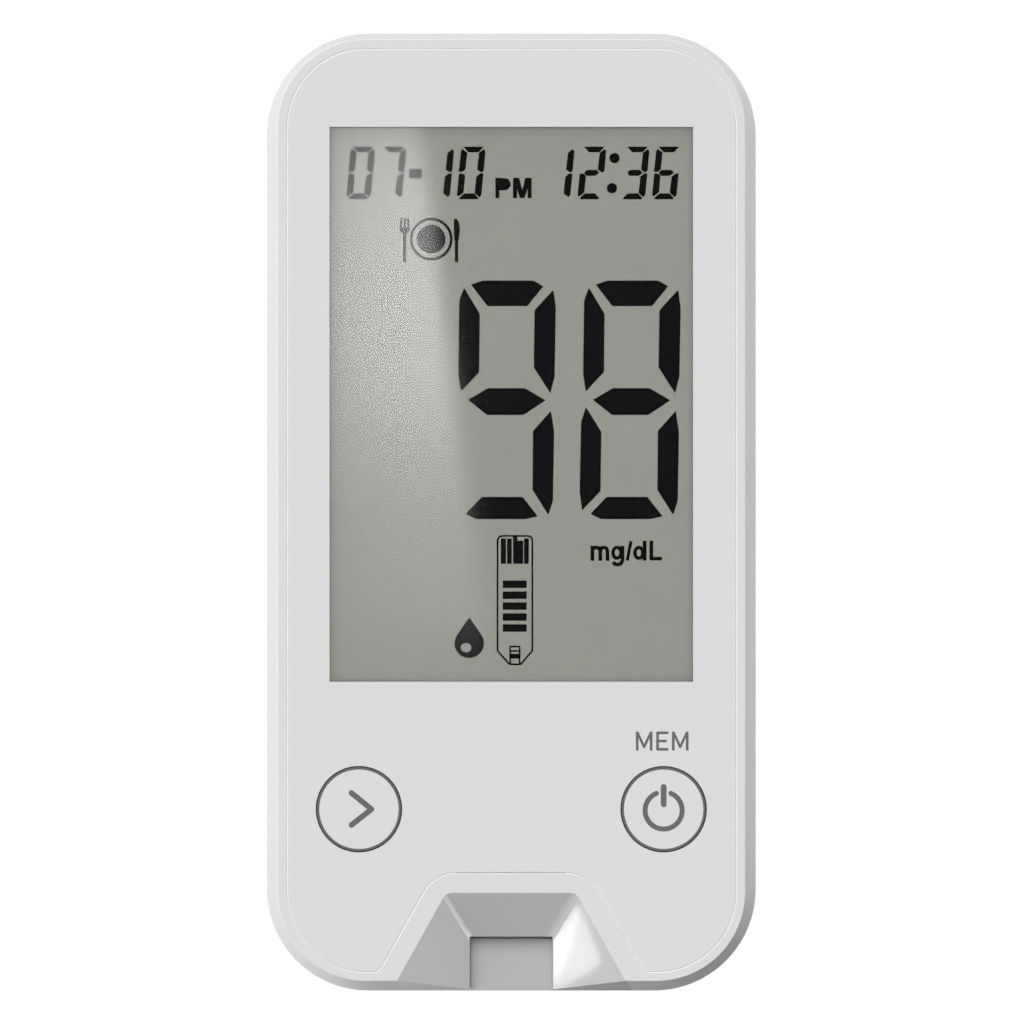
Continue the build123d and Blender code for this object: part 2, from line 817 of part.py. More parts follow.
def make_strip_connector():
    half = connector_width / 2
    back = board_end_y + connector_length
    body = plate(half, board_end_y, back, board_top, board_top + connector_height)
    slot = board_end_y + connector_slot_depth
    body -= plate(connector_slot_width / 2, board_end_y - cut_over, slot, slot_bottom, slot_top)
    groove = strip_contact_width / 2 + strip_contact_clearance
    start = board_end_y + connector_lead
    low = board_top - cut_over
    high = max(board_top + strip_contact_thickness + strip_contact_clearance, slot_bottom)
    for x in strip_contact_places():
        body -= block(x - groove, x + groove, start, back + cut_over, low, high)
    return body


def make_strip_contacts():
    """Sprung fingers that rise into the connector's slot and end in tails on the board."""
    tail_y = board_end_y + connector_length + strip_contact_tail
    base_y = board_end_y + connector_slot_depth - strip_contact_bend
    crest_y = board_end_y + connector_slot_depth / 2
    crest = slot_bottom + strip_contact_rise
    tip = (crest_y - strip_contact_tip, slot_bottom + strip_contact_tip_gap)
    lower = [(tail_y, board_top), (base_y, board_top), (crest_y, crest), tip]
    upper = [(y, z + strip_contact_thickness) for y, z in reversed(lower)]
    contacts = []
    for x in strip_contact_places():
        side = Plane(origin=(x - strip_contact_width / 2, 0, 0), x_dir=(0, 1, 0), z_dir=(1, 0, 0))
        profile = make_face(Polyline(*lower, *upper, close=True))
        contacts.append(extrude(side * profile, strip_contact_width))
    return Compound(children=contacts)


# ---- Power ----
def make_cell(side):
    """One round cell along Y. side -1 has its button up the meter, side 1 down it."""
    can_length = cell_length - cell_button_height
    can = disc((0, 0), cell_radius, 0, can_length)
    can = fillet(can.edges().filter_by(GeomType.CIRCLE), cell_edge_round)
    button = disc((0, 0), cell_button_radius, can_length - cut_over, cell_length)
    cell = can + button
    if side < 0:
        start = bay_upper_y - contact_thickness - cell_length
        return Pos(-cell_pitch / 2, start, cell_axis) * Rot(-90, 0, 0) * cell
    start = bay_lower_y + contact_thickness + cell_length
    return Pos(cell_pitch / 2, start, cell_axis) * Rot(90, 0, 0) * cell


def contact_plate(x0, x1, y0):
    low = cell_axis - contact_height / 2
    return block(x0, x1, y0, y0 + contact_thickness, low, low + contact_height)


def contact_tail(x, y0):
    half = contact_tail_width / 2
    top = board_top + contact_tail_over_board
    return block(x - half, x + half, y0, y0 + contact_thickness, cell_axis, top)


def tail_slots(low, high):
    """Slots for the two contact tails, through the bay's roof and the board."""
    half = contact_tail_width / 2 + contact_tail_clearance
    y1 = bay_upper_y + contact_tail_clearance
    y0 = bay_upper_y - contact_thickness - contact_tail_clearance
    slots = block(-cell_pitch / 2 - half, -cell_pitch / 2 + half, y0, y1, low, high)
    return slots + block(cell_pitch / 2 - half, cell_pitch / 2 + half, y0, y1, low, high)


def make_end_contact(side):
    """The contact at the upper end of one cell, with its tail to the board."""
    x = side * cell_pitch / 2
    y0 = bay_upper_y - contact_thickness
    body = contact_plate(x - contact_width / 2, x + contact_width / 2, y0)
    return body + contact_tail(x, y0)


def make_bridge_contact():
    """The contact that joins the two cells at their lower ends."""
    reach = cell_pitch / 2 + contact_width / 2
    return contact_plate(-reach, reach, bay_lower_y)


def spring(x, start, turn):
    """A wire coil along Y from a start, on one side."""
    height = spring_length - 2 * (spring_wire_radius + spring_end_gap)
    coil = Edge.make_helix(height / spring_turns, height, spring_radius)
    section = Plane(origin=coil @ 0, z_dir=coil % 0) * Circle(spring_wire_radius)
    wire = sweep(section, path=coil)
    offset = spring_wire_radius + spring_end_gap
    return Pos(x, start, cell_axis) * Rot(turn, 0, 0) * Pos(0, 0, offset) * wire


def make_battery_springs():
    lower = spring(-cell_pitch / 2, bay_lower_y + contact_thickness, -90)
    upper = spring(cell_pitch / 2, bay_upper_y - contact_thickness, 90)
    return Compound(children=[lower, upper])


# ---- Screws ----
def screw(place, seat, shank, head):
    """Pan head screw pointing up. shank and head are (radius, length)."""
    bottom = seat - head[1]
    body = disc(place, head[0], bottom, seat)
    body = fillet(body.edges().group_by(Axis.Z)[0], head[1] * head_round_share)
    cross = Box(cross_length, cross_width, cross_depth * 2) + Box(cross_width, cross_length, cross_depth * 2)
    body -= Pos(place[0], place[1], bottom) * cross
    return body + disc(place, shank[0], seat - join_over, seat + shank[1])


def make_case_screws():
    shank = (case_shank_radius, case_shank_length)
    head = (case_head_radius, case_head_height)
    return Compound(children=[screw(place, case_head_seat, shank, head) for place in case_screw_places])


def make_board_screws():
    shank = (board_shank_radius, board_shank_length)
    head = (board_head_radius, board_head_height)
    return Compound(children=[screw(place, board_height, shank, head) for place in board_post_places])


nodes = {
    "front_shell": make_front_shell(),
    "faceplate": make_faceplate(),
    "display_window": make_display_window(),
    "window_tape": make_window_tape(),
    "left_key": make_key(key_places[0], 1),
    "right_key": make_key(key_places[1], -1),
    "left_dome": make_dome(key_places[0]),
    "right_dome": make_dome(key_places[1]),
    "display_gasket": make_gasket(),
    "display_front_glass": make_front_glass(),
    "display_rear_glass": make_rear_glass(),
    "display_reflector": make_reflector(),
    "display_frame": make_display_frame(),
    "zebra_strip": make_zebra_strip(),
    "main_board": make_main_board(),
    "processor": make_processor(),
    "memory_chip": make_memory_chip(),
    "crystal": make_crystal(),
    "board_passives": make_board_passives(),
    "buzzer": make_buzzer(),
    "strip_guide": make_strip_guide(),
    "strip_connector": make_strip_connector(),
    "strip_contacts": make_strip_contacts(),
    "left_cell": make_cell(-1),
    "right_cell": make_cell(1),
    "positive_contact": make_end_contact(-1),
    "negative_contact": make_end_contact(1),
    "bridge_contact": make_bridge_contact(),
    "battery_springs": make_battery_springs(),
    "back_shell": make_back_shell(),
    "battery_door": make_battery_door(),
    "case_screws": make_case_screws(),
    "board_screws": make_board_screws(),
}

os.makedirs("parts", exist_ok=True)
for name, shape in nodes.items():
    export_step(shape, f"parts/{name}.step")
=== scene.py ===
import math

import bmesh
import bpy
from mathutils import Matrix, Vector, geometry


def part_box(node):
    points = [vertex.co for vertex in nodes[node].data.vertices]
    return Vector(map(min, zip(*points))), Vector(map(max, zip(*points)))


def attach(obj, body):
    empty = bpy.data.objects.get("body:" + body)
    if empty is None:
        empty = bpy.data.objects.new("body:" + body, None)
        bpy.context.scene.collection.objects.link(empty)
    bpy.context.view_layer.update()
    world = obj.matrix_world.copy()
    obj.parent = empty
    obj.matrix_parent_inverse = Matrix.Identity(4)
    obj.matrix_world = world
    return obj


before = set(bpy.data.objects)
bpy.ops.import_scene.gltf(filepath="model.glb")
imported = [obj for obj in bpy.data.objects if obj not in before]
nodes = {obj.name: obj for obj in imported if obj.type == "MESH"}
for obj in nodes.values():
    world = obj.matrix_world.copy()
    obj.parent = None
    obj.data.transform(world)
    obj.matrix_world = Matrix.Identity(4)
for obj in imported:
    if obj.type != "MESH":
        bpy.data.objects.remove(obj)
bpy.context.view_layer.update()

# Looks of a handheld blood glucose meter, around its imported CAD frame.
# Blender works in metres. The marks are laid out in millimetres from the meter's middle,
# x to the right and y up the meter as it is read.
MM = 0.001

# ---- Tones (0 to 255 as seen on a screen) ----
CASE_TONE = (221.5, 221.5, 221.5)
# painted highlight: the lighter tone of the rounded edges at the faceplate's seam
PAINTED_HIGHLIGHT_TONE = (248, 248, 248)
PAINTED_HIGHLIGHT_HEIGHT = 0.16  # down which the edges at the faceplate's seam get a painted highlight (mm)
FUNNEL_SHADE_TONE = (204, 204, 204)  # of the plastic inside the funnel, painted darker than the case as shade
DISPLAY_TONE = (146, 147, 139.5)
INK_TONE = (24, 23, 24)
PRINT_TONE = (94, 94, 96)
WHITE = (1, 1, 1, 1)

# ---- Surface of the plastic ----
UNEVENNESS = 0.006  # share by which the tone varies
UNEVEN_SCALE = 55
GLOSS_SCALE = 900
GLOSS_SPREAD = 0.04  # by which the roughness varies
GRAIN_SCALE = 5200
GRAIN_DEPTH = 4e-6  # metres
FINE_GRAIN_DEPTH = 2e-6
PAINTED_HIGHLIGHT_LEAN = (0.985, 0.9)  # the normal's z where an edge's painted highlight starts, and where it is brightest
CASE_ROUGHNESS = 0.36
POLISHED_ROUGHNESS = 0.05
KEY_ROUGHNESS = 0.38
PRINTED_ROUGHNESS = 0.9
POLARISER_ROUGHNESS = 0.016
WINDOW_ROUGHNESS = 0.01
WINDOW_IOR = 1.5
PLAIN_SPECULAR = 0.5
LINE_STRETCH = (400, 6000, 400)  # of the fine lines on metal

# ---- Marks ----
SEGMENT_THICKNESS = 0.02  # of the display's dark segments, on its front
PRINT_THICKNESS = 0.006  # of the ink on keys and faceplate
ROUND_SIDES = 48
KEY_RING = (4.13, 4.4)  # radii of the printed ring at a key's edge
RING_MARGIN = 0.08  # left without raised ink at the ring's outer side
SAME_POINT = 1e-4  # points closer than this count as one
KEY_TOP_BAND = 1e-5  # points this close to a key's highest belong to its top (metres)
WITHIN_LOOPS = 1  # the triangulation keeps what lies in the loops
LOOP_CLOSENESS = 1e-6

# ---- Funnel of the strip port, as in the solids ----
FUNNEL_BACK = -39.58  # y of its back edge
SLOT_MOUTH = -44.2  # y where the ramp dives under
SHADED_LENGTH = 2.2  # of the ramp with painted shade before the slot
SHADE_FALLOFF = 2.0
POLISH_MARGIN = 0.05  # beside the funnel's edges
POLISH_START = 0.02  # under the face
FUNNEL_HALF_WIDTH = 6.8
FUNNEL_FLARE = 0.56
SIDE_SLOPE = 0.845  # drop per length

# ---- Camera and light ----
CAMERA_HEIGHT = 2.5
SHARP_HEIGHT = 0.0165  # the height at which the picture's scale holds
PICTURE_WIDTH = 0.10641
CAMERA_OFFSET = (-0.000031, 0.000115)
SENSOR = 36.0
FACE_HEIGHT = 0.02  # of the meter's face over the floor
LAMP_TARGET = (0, 0, 0.01)

# ---- Floor, as the meter's sides and light have it, with a painted shadow and a painted glow (metres) ----
FLOOR_HALF = 3.0
FLOOR_HEIGHT = -0.00005
FLOOR_SHADOW_WAY = (0.35, -0.94)
FLOOR_SHADOW_SPAN = (0.044, 0.244)  # where along that way the painted shadow starts, and where it is darkest
FLOOR_SHADOW_TONES = [(0.0, 0.8), (0.06, 0.28), (0.3, 0.12), (1.0, 0.05)]
FLOOR_GLOW_WAY = (-1.0, -0.08)
FLOOR_GLOW_START = (0.018, 0.026)
FLOOR_MIRROR_GLOW = (0.03, 0.37)  # painted glow added in mirrors, before and past that place
FLOOR_SEEN_PAINT = (0.12, 0.12, 0.12, 1)  # of the floor the camera sees
FLOOR_SEEN_GLOW = 0.93

# ---- Card over the window (places on the window in mm) ----
CARD_HEIGHT = 2.6  # above the meter's face, just above the camera
# from a place on the window to its mirror place on the card
CARD_GROWTH = 1 + CARD_HEIGHT / (CAMERA_HEIGHT - FACE_HEIGHT)
CARD_STRENGTH = 6.6
CARD_SLANT = 0.129  # of its right edge, which runs through (-8.46, 31.97) and (-3.78, -4.47)
CARD_EDGE = -4.34  # x plus slant times y on that edge
CARD_SOFTNESS = (-1.5, 1.3)  # to each side of it
CARD_LEFT = (-19, -9)
CARD_LEFT_LEVELS = [(0.0, 0.36), (0.12, 0.66), (0.45, 0.82), (1.0, 1.0)]
CARD_DOWN = (-17, 41)
CARD_DOWN_LEVELS = [
    (0.0, 0.02), (0.14, 0.18), (0.29, 0.3), (0.42, 0.56), (0.55, 0.86),
    (0.68, 0.98), (0.85, 0.92), (0.94, 0.72), (1.0, 0.4),
]
SIDE_FADE = 0.4  # share of a round card's half width at full strength
RISE_LEVELS = [(0.0, 0.0), (0.3, 1.0), (0.7, 1.0), (1.0, 0.0)]

# ---- World ----
WORLD_WAY = (-0.64, 0.77)  # from dim to bright
WORLD_LEVELS = [
    (0.0, 0.0), (0.1, 0.02), (0.2, 0.22), (0.3, 0.7), (0.4, 1.06),
    (0.5, 1.06), (0.78, 1.08), (0.95, 0.6), (1.0, 0.5),
]
ZENITH = (0.7, 1.0)
ZENITH_GAIN = (1.02, 1.28)
OVERHEAD = (0.999, 0.9996)  # z of the way where mirrors start to see dark, and where it is full


def linear(tone):
    """Screen tone, 0 to 255, as linear light."""
    share = tone / 255
    return share / 12.92 if share <= 0.04045 else ((share + 0.055) / 1.055) ** 2.4


def colour(tones, gain=1.0):
    return (*(linear(tone) * gain for tone in tones), 1.0)


# ---- Node helpers ----
class Shader:
    """A material's node tree, with short ways to add and join nodes."""

    def __init__(self, tree):
        self.tree = tree
        self.tree.nodes.clear()

    def node(self, kind, inputs=None, **settings):
        made = self.tree.nodes.new(kind)
        for name, value in settings.items():
            setattr(made, name, value)
        for name, value in (inputs or {}).items():
            socket = made.inputs[name]
            if isinstance(value, bpy.types.NodeSocket):
                self.tree.links.new(value, socket)
            else:
                socket.default_value = value
        return made

    def math(self, operation, *values):
        made = self.node("ShaderNodeMath", operation=operation)
        for socket, value in zip(made.inputs, values):
            if isinstance(value, bpy.types.NodeSocket):
                self.tree.links.new(value, socket)
            else:
                socket.default_value = value
        return made.outputs[0]

    def place(self):
        """The point on the surface, in metres in the part's own frame."""
        return self.node("ShaderNodeTexCoord").outputs["Object"]

    def noise(self, scale, detail=2.0, place=None):
        inputs = {"Scale": scale, "Detail": detail, "Vector": place or self.place()}
        return self.node("ShaderNodeTexNoise", inputs).outputs["Fac"]

    def ramp(self, fac, stops):
        """Colours along a value, as (place, colour or grey) stops."""
        made = self.node("ShaderNodeValToRGB", {"Fac": fac})
        ramp = made.color_ramp
        while len(ramp.elements) < len(stops):
            ramp.elements.new(1.0)
        for element, (place, value) in zip(ramp.elements, stops):
            element.position = place
            element.color = value if isinstance(value, tuple) else (value, value, value, 1.0)
        return made.outputs["Color"]

    def between(self, fac, low, high):
        """A number that runs from low to high as fac runs from 0 to 1."""
        inputs = {"Value": fac, "To Min": low, "To Max": high}
        return self.node("ShaderNodeMapRange", inputs).outputs["Result"]

    def share(self, value, low, high):
        """How far a value is from low to high, from 0 to 1."""
        inputs = {"Value": value, "From Min": low, "From Max": high}
        return self.node("ShaderNodeMapRange", inputs).outputs["Result"]

    def along(self, place, way):
        """How far a place or direction lies along a level way (x, y)."""
        split = self.node("ShaderNodeSeparateXYZ", {"Vector": place})
        beside = self.math("MULTIPLY", split.outputs["Y"], way[1])
        return self.math("MULTIPLY_ADD", split.outputs["X"], way[0], beside)

    def scaled(self, colour_or_number, factor):
        """A colour times a number."""
        inputs = {0: colour_or_number, "Scale": factor}
        return self.node("ShaderNodeVectorMath", inputs, operation="SCALE").outputs[0]

    def blend(self, fac, first, second):
        """A colour that turns from the first to the second."""
        inputs = {"Factor": fac, "A": first, "B": second}
        return self.node("ShaderNodeMix", inputs, data_type="RGBA").outputs["Result"]

    def gloss(self, roughness, scale=GLOSS_SCALE, spread=GLOSS_SPREAD):
        """Roughness that varies in soft patches."""
        return self.between(self.noise(scale), roughness - spread, roughness + spread)

    def mix(self, fac, first, second):
        """A shader node that turns from the first to the second."""
        return self.node("ShaderNodeMixShader", {"Fac": fac, 1: first.outputs[0], 2: second.outputs[0]})

    def bump(self, height, depth, strength=1.0):
        """Relief of a depth in metres."""
        inputs = {"Height": height, "Distance": depth, "Strength": strength}
        return self.node("ShaderNodeBump", inputs).outputs["Normal"]

    def surface(self, shader):
        self.node("ShaderNodeOutputMaterial", {"Surface": shader})

    def principled(self, inputs):
        self.surface(self.node("ShaderNodeBsdfPrincipled", inputs).outputs[0])


def new_material(name):
    material = bpy.data.materials.new(name)
    material.use_nodes = True
    return material, Shader(material.node_tree)


def uneven(shade, base, spread=UNEVENNESS, scale=UNEVEN_SCALE):
    """The base colour, slightly lighter and darker in soft patches."""
    light = tuple(min(1.0, part * (1 + spread)) for part in base[:3]) + (1.0,)
    dark = tuple(part * (1 - spread) for part in base[:3]) + (1.0,)
    return shade.ramp(shade.noise(scale), [(0.3, dark), (0.7, light)])


def moulded(name, base, roughness, grain=GRAIN_DEPTH):
    """Moulded plastic: soft unevenness of tone and gloss, and the fine grain of the tool."""
    material, shade = new_material(name)
    inputs = {
        "Base Color": uneven(shade, base),
        "Roughness": shade.gloss(roughness),
        "Normal": shade.bump(shade.noise(GRAIN_SCALE), grain),
    }
    shade.principled(inputs)
    return material


def with_painted_edge_highlights(shade, base, edge, over):
    """The base colour with a painted highlight: lighter on the rounded edges above a height."""
    normal = shade.node("ShaderNodeNewGeometry").outputs["Normal"]
    lean = shade.node("ShaderNodeSeparateXYZ", {"Vector": normal}).outputs["Z"]
    z = shade.node("ShaderNodeSeparateXYZ", {"Vector": shade.place()}).outputs["Z"]
    high = shade.math("GREATER_THAN", z, over)
    fac = shade.math("MULTIPLY", shade.share(lean, *PAINTED_HIGHLIGHT_LEAN), high)
    return shade.blend(fac, base, edge)


def plate_plastic(name, base, edge, roughness):
    """Satin moulded plastic with a painted highlight on its rounded edge."""
    material, shade = new_material(name)
    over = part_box("faceplate")[1].z - PAINTED_HIGHLIGHT_HEIGHT * MM
    inputs = {
        "Base Color": with_painted_edge_highlights(shade, uneven(shade, base), edge, over),
        "Roughness": shade.gloss(roughness),
        "Normal": shade.bump(shade.noise(GRAIN_SCALE), FINE_GRAIN_DEPTH),
    }
    shade.principled(inputs)
    return material


def case_plastic(name, base, edge, roughness, shaded_funnel_base, polish):
    """Satin moulded plastic with painted highlights on its rounded edges, given a high polish and a painted
    shade inside the funnel of the strip port.
    """
    material, shade = new_material(name)
    split = shade.node("ShaderNodeSeparateXYZ", {"Vector": shade.place()})
    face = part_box("front_shell")[1].z
    back = FUNNEL_BACK * MM
    down = shade.math("SUBTRACT", back, split.outputs["Y"])
    half = shade.math("MULTIPLY_ADD", down, FUNNEL_FLARE, (FUNNEL_HALF_WIDTH + POLISH_MARGIN) * MM)
    within = shade.math("LESS_THAN", shade.math("ABSOLUTE", split.outputs["X"]), half)
    under = shade.math("LESS_THAN", split.outputs["Z"], face - POLISH_START * MM)
    # this mask marks the funnel, which is polished and gets a painted shade
    polished_and_shaded = shade.math("MULTIPLY", within, under)
    grain = shade.gloss(roughness)
    satin = with_painted_edge_highlights(shade, uneven(shade, base), edge, face - PAINTED_HIGHLIGHT_HEIGHT * MM)
    gloss = shade.node("ShaderNodeMix", {"Factor": polished_and_shaded, "A": grain, "B": polish})
    inputs = {
        "Base Color": shade.blend(polished_and_shaded, satin, shaded_funnel_base),
        "Roughness": gloss.outputs["Result"],
        "Normal": shade.bump(shade.noise(GRAIN_SCALE), GRAIN_DEPTH, shade.between(polished_and_shaded, 1.0, 0.0)),
    }
    shade.principled(inputs)
    return material


def guide_plastic(name, base, shaded, roughness):
    """Moulded plastic with a painted shade that darkens it towards the slot it dives under."""
    material, shade = new_material(name)
    split = shade.node("ShaderNodeSeparateXYZ", {"Vector": shade.place()})
    near = shade.share(split.outputs["Y"], (SLOT_MOUTH - SHADED_LENGTH) * MM, SLOT_MOUTH * MM)
    inputs = {
        "Base Color": shade.blend(shade.math("POWER", near, SHADE_FALLOFF), uneven(shade, base), shaded),
        "Roughness": shade.gloss(roughness),
        "Normal": shade.bump(shade.noise(GRAIN_SCALE), GRAIN_DEPTH),
    }
    shade.principled(inputs)
    return material


def key_middle(key):
    """The middle of a key's round top, from its highest points (mm)."""
    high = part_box(key)[1]
    top = [v.co for v in nodes[key].data.vertices if v.co.z > high.z - KEY_TOP_BAND]
    xs = [co.x for co in top]
    ys = [co.y for co in top]
    return (min(xs) + max(xs)) / 2 / MM, (min(ys) + max(ys)) / 2 / MM


def key_plastic(name, key, base, edge):
    """Satin plastic whose turned-down edge is printed with the ring."""
    material, shade = new_material(name)
    x, y = key_middle(key)
    split = shade.node("ShaderNodeSeparateXYZ", {"Vector": shade.place()})
    across = shade.math("SUBTRACT", split.outputs["X"], x * MM)
    along = shade.math("SUBTRACT", split.outputs["Y"], y * MM)
    reach = shade.math("SQRT", shade.math(
        "ADD", shade.math("MULTIPLY", across, across), shade.math("MULTIPLY", along, along)
    ))
    rim = shade.math("GREATER_THAN", reach, KEY_RING[0] * MM)
    inputs = {
        "Base Color": shade.blend(rim, uneven(shade, base), edge),
        "Roughness": shade.between(rim, KEY_ROUGHNESS, PRINTED_ROUGHNESS),
        "Normal": shade.bump(shade.noise(GRAIN_SCALE), FINE_GRAIN_DEPTH),
    }
    shade.principled(inputs)
    return material


def metal(name, base, roughness):
    """Rolled or drawn metal with fine lines along it."""
    material, shade = new_material(name)
    mapping = shade.node("ShaderNodeMapping", {"Vector": shade.place(), "Scale": LINE_STRETCH})
    lines = shade.noise(1.0, 3.0, mapping.outputs[0])
    inputs = {
        "Base Color": uneven(shade, base, 0.05, 300),
        "Metallic": 1.0,
        "Roughness": shade.between(lines, roughness - 0.06, roughness + 0.08),
        "Normal": shade.bump(lines, FINE_GRAIN_DEPTH),
    }
    shade.principled(inputs)
    return material


def clear(name, tint, gloss, smear):
    """A clear sheet: what is behind it shows through, and its front face mirrors a little."""
    material, shade = new_material(name)
    through = shade.node("ShaderNodeBsdfTransparent", {"Color": tint})
    marks = shade.noise(140, 4.0)
    rough = shade.between(marks, WINDOW_ROUGHNESS, WINDOW_ROUGHNESS + smear)
    mirror = shade.node("ShaderNodeBsdfGlossy", {"Roughness": rough})
    fresnel = shade.node("ShaderNodeFresnel", {"IOR": WINDOW_IOR}).outputs[0]
    back = shade.node("ShaderNodeNewGeometry").outputs["Backfacing"]
    front = shade.math("SUBTRACT", 1.0, back)
    fac = shade.math("MULTIPLY", shade.math("MULTIPLY", fresnel, gloss), front)
    shade.surface(shade.mix(fac, through, mirror).outputs[0])
    return material


def ink(name, base, roughness, coat=0.0):
    """A thin printed or driven film, faintly mottled; coat is the gloss of a polariser over it."""
    material, shade = new_material(name)
    inputs = {
        "Base Color": uneven(shade, base, 0.04, 2500),
        "Roughness": shade.gloss(roughness, 4000, 0.05),
        "Specular IOR Level": PLAIN_SPECULAR * (1 - coat),
        "Coat Weight": coat,
        "Coat Roughness": POLARISER_ROUGHNESS,
    }
    shade.principled(inputs)
    return material


def reflective_display(name, base, metallic, roughness):
    """The grey of a reflective display: a satin mirror under a glossy polariser."""
    material, shade = new_material(name)
    inputs = {
        "Base Color": uneven(shade, base, 0.003, 40),
        "Metallic": metallic,
        "Roughness": shade.gloss(roughness, 1800, 0.02),
        "Specular IOR Level": 0.0,
        "Coat Weight": 1.0,
        "Coat Roughness": POLARISER_ROUGHNESS,
    }
    shade.principled(inputs)
    return material


def striped(name, first, second, axis, pitch, roughness, metallic=0.0):
    """Even bands of two colours across an axis."""
    material, shade = new_material(name)
    split = shade.node("ShaderNodeSeparateXYZ", {"Vector": shade.place()})
    turns = shade.math("MULTIPLY", split.outputs[axis], 1 / pitch)
    band = shade.math("FRACT", turns)
    inputs = {
        "Base Color": shade.ramp(band, [(0.45, first), (0.55, second)]),
        "Metallic": metallic,
        "Roughness": shade.gloss(roughness, 1500, 0.05),
        "Normal": shade.bump(shade.noise(5000), 3e-6),
    }
    shade.principled(inputs)
    return material


def circuit_board(name):
    """Green lacquer over copper tracks."""
    material, shade = new_material(name)
    cells = shade.node(
        "ShaderNodeTexVoronoi", {"Vector": shade.place(), "Scale": 620.0, "Randomness": 0.0},
        feature="DISTANCE_TO_EDGE", distance="CHEBYCHEV",
    )
    tracks = shade.ramp(cells.outputs["Distance"], [(0.06, 1.0), (0.09, 0.0)])
    inputs = {
        "Base Color": shade.blend(tracks, colour((18, 74, 44)), colour((36, 110, 62))),
        "Roughness": shade.between(shade.noise(700), 0.28, 0.4),
        "Coat Weight": 0.4,
        "Normal": shade.bump(tracks, 1.5e-5),
    }
    shade.principled(inputs)
    return material


def cell_sleeve(name):
    """A plain printed sleeve that leaves the metal ends bare."""
    material, shade = new_material(name)
    low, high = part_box("left_cell")
    split = shade.node("ShaderNodeSeparateXYZ", {"Vector": shade.place()})
    middle = (low.y + high.y) / 2
    reach = (high.y - low.y) / 2
    along = shade.math("ABSOLUTE", shade.math("SUBTRACT", split.outputs["Y"], middle))
    share = shade.math("DIVIDE", along, reach)
    wrap, band, steel = colour((58, 66, 72)), colour((176, 182, 184)), colour((190, 190, 188))
    sleeve = shade.ramp(share, [
        (0.0, wrap), (0.55, wrap), (0.56, band), (0.6, band), (0.61, wrap), (0.925, wrap), (0.93, steel),
    ])
    bare = shade.math("GREATER_THAN", share, 0.928)
    inputs = {
        "Base Color": sleeve,
        "Metallic": bare,
        "Roughness": shade.between(shade.noise(500), 0.24, 0.36),
        "Normal": shade.bump(shade.noise(1200), 4e-6),
    }
    shade.principled(inputs)
    return material


def foam(name, base):
    """Closed-cell foam with open pores at its cut faces."""
    material, shade = new_material(name)
    pores = shade.node("ShaderNodeTexVoronoi", {"Vector": shade.place(), "Scale": 5200.0})
    inputs = {
        "Base Color": uneven(shade, base, 0.15, 3000),
        "Roughness": shade.between(pores.outputs["Distance"], 0.75, 0.95),
        "Normal": shade.bump(pores.outputs["Distance"], 6e-5),
    }
    shade.principled(inputs)
    return material


def dress(material, *names):
    """Gives CAD nodes their finish."""
    for name in names:
        mesh = nodes[name].data
        mesh.materials.clear()
        mesh.materials.append(material)
        nodes[name].active_material = material


# ---- Flat marks ----
def at(points, x, y):
    """Points moved to a place, in millimetres."""
    return [(px + x, py + y) for px, py in points]


def arc(centre, radius, start, end, count=24):
    """Points along part of a circle or ellipse, angles in degrees."""
    rx, ry = radius if isinstance(radius, tuple) else (radius, radius)
    steps = [math.radians(start + (end - start) * i / count) for i in range(count + 1)]
    return [(centre[0] + rx * math.cos(a), centre[1] + ry * math.sin(a)) for a in steps]


def circle(centre, radius):
    return arc(centre, radius, 0, 360, ROUND_SIDES)[:-1]


def rectangle(x0, x1, y0, y1):
    return [(x0, y0), (x1, y0), (x1, y1), (x0, y1)]


def stroke(points, width, closed=False, round_ends=False):
    """A drawn line as overlapping loops: a bar for each run, and a disc at each bend."""
    points = [
        Vector(point) for i, point in enumerate(points)
        if i == 0 or math.dist(point, points[i - 1]) > SAME_POINT
    ]
    runs = list(zip(points, points[1:] + points[:1] if closed else points[1:]))
    loops = []
    for a, b in runs:
        side = (b - a).orthogonal().normalized() * width / 2
        loops.append([tuple(p) for p in (a - side, b - side, b + side, a + side)])
    bends = points if closed or round_ends else points[1:-1]
    return loops + [circle(point, width / 2) for point in bends]


def counter_clockwise(loop):
    area = sum(a[0] * b[1] - b[0] * a[1] for a, b in zip(loop, loop[1:] + loop[:1]))
    return loop if area > 0 else loop[::-1]


def inside(point, loop):
    """True if a point is in a loop."""
    hit = False
    for (x0, y0), (x1, y1) in zip(loop, loop[1:] + loop[:1]):
        if (y0 > point[1]) != (y1 > point[1]):
            if point[0] < (x1 - x0) * (point[1] - y0) / (y1 - y0) + x0:
                hit = not hit
    return hit


def fuller(loops, growth):
    """Loops grown outwards by a little."""
    return loops + [part for loop in loops for part in stroke(loop, 2 * growth, closed=True)]


